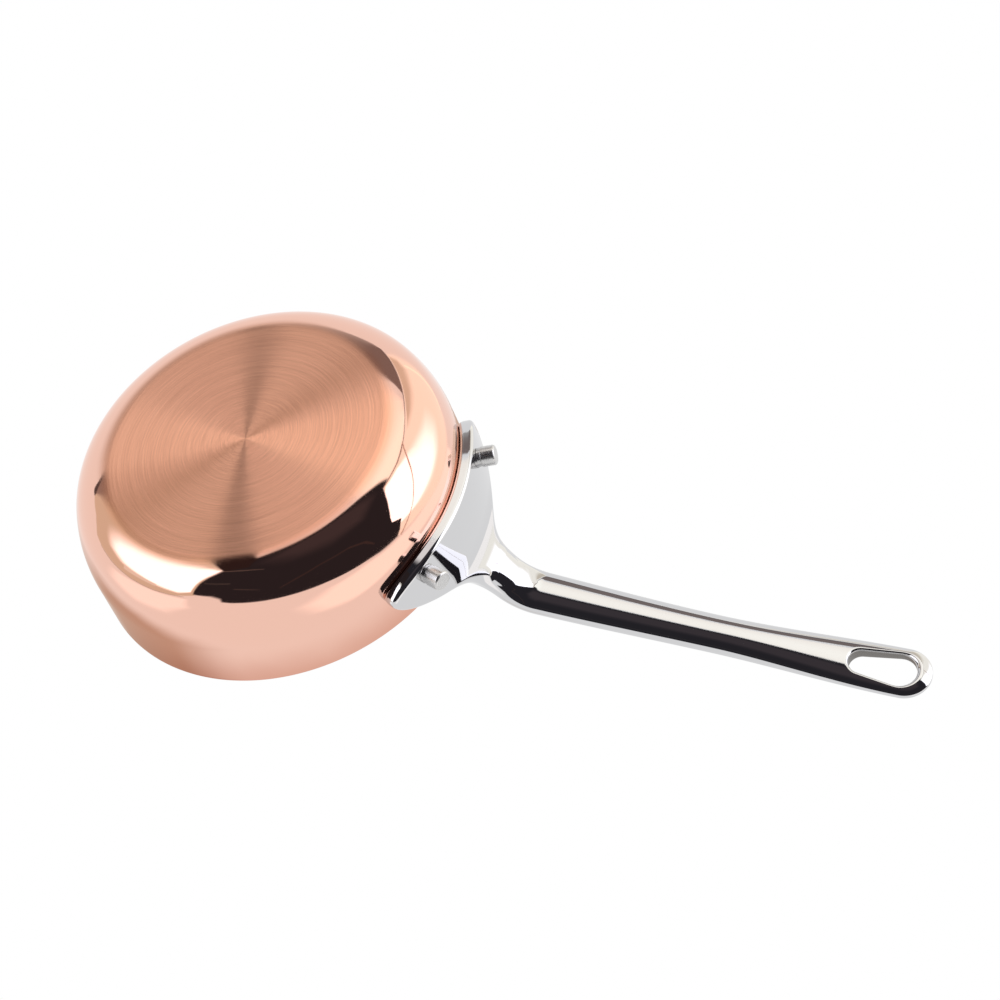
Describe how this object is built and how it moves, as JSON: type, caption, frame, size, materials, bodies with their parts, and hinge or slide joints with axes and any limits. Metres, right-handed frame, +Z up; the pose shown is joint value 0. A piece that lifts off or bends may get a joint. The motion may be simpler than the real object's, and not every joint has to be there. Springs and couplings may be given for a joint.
{
  "type": "saucepan",
  "caption": "Low round saucepan of copper lined with steel, with a long arched cast handle riveted to its wall and a hanging hole in the handle's tip.",
  "frame": {"origin": "centre of the flat underside that stands on the hob", "axes": "+Z up to the open rim, +X from the pan's axis out along the handle, XZ is the plane of symmetry"},
  "size_m": [0.3432, 0.16, 0.1081],
  "materials": {
    "copper": "polished copper, turned in fine rings underneath",
    "lining": "satin, brushed in rings",
    "cast_steel": "mirror polished",
    "rivet": "satin"
  },
  "bodies": {
    "root": {"copper_shell": "copper", "steel_lining": "lining", "handle": "cast_steel", "rivet_left": "rivet", "rivet_right": "rivet"}
  },
  "joints": []
}
